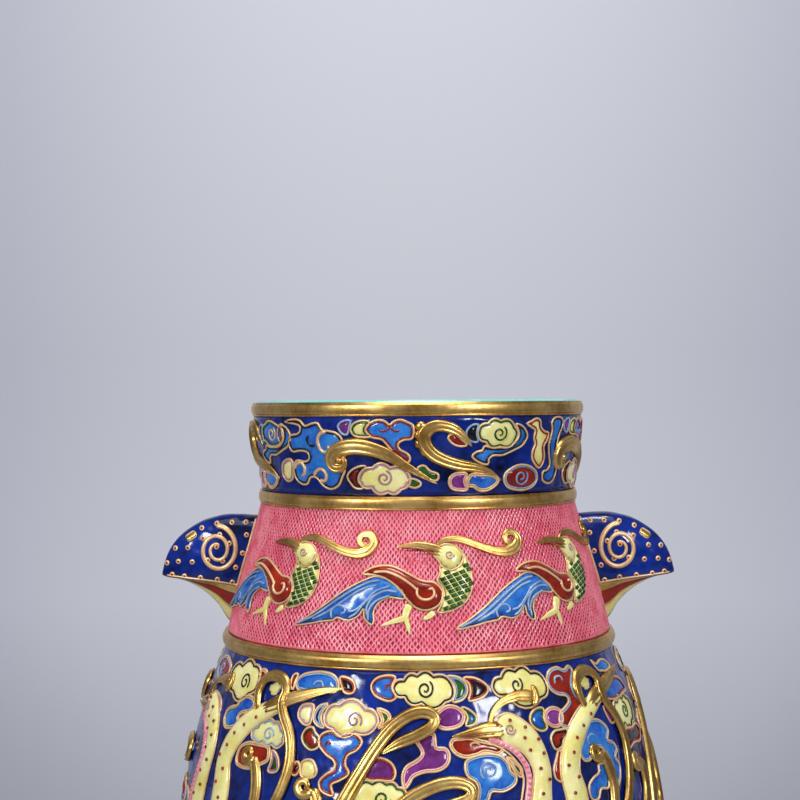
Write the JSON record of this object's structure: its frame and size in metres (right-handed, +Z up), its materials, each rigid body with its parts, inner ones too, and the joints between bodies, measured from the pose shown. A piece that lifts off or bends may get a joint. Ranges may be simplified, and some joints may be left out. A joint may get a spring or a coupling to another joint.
{
  "type": "vase",
  "caption": "Wide-mouthed vase with a straight collar, sloping neck, full belly and spreading foot, two wing-shaped neck handles and raised enamelled ornament.",
  "frame": {"origin": "on the axis of the vase, in the plane that the foot stands on", "axes": "+Z up along the axis; the handles lie along +X and -X; -Y is the front"},
  "size_m": [0.1852, 0.175, 0.31],
  "materials": {
    "cobalt_enamel": "glossy vitreous enamel",
    "pink_enamel": "glossy vitreous enamel over a pitted scale ground",
    "cream_enamel": "glossy vitreous enamel",
    "gilt_metal": "satin gilding, rubbed on the high points",
    "bare_metal": "dull worked metal"
  },
  "bodies": {
    "root": {"foot_rim": "gilt_metal", "base_plate": "bare_metal", "foot_shell": "cobalt_enamel", "hem_shell": "pink_enamel", "belly_shell": "cobalt_enamel", "neck_shell": "pink_enamel", "collar_shell": "cobalt_enamel", "hem_ring": "gilt_metal", "waist_ring": "gilt_metal", "shoulder_ring": "gilt_metal", "collar_ring": "gilt_metal", "rim_ring": "gilt_metal", "right_handle": "cobalt_enamel", "left_handle": "cobalt_enamel", "right_handle_pin_1": "bare_metal", "right_handle_pin_2": "bare_metal", "left_handle_pin_1": "bare_metal", "left_handle_pin_2": "bare_metal", "neck_bird_1": "cream_enamel", "neck_bird_2": "cream_enamel", "neck_bird_3": "cream_enamel", "neck_bird_4": "cream_enamel", "neck_bird_5": "cream_enamel", "neck_bird_6": "cream_enamel", "collar_scroll_a_1": "gilt_metal", "collar_scroll_a_2": "gilt_metal", "collar_scroll_a_3": "gilt_metal", "collar_scroll_a_4": "gilt_metal", "collar_scroll_b_1": "gilt_metal", "collar_scroll_b_2": "gilt_metal", "collar_scroll_b_3": "gilt_metal", "collar_scroll_b_4": "gilt_metal", "phoenix_1": "cream_enamel", "phoenix_2": "cream_enamel", "phoenix_3": "cream_enamel", "phoenix_4": "cream_enamel", "plume_1": "cream_enamel", "plume_2": "cream_enamel", "plume_3": "cream_enamel", "plume_4": "cream_enamel", "ribbon_1": "gilt_metal", "ribbon_2": "gilt_metal", "ribbon_3": "gilt_metal", "ribbon_4": "gilt_metal"}
  },
  "joints": []
}
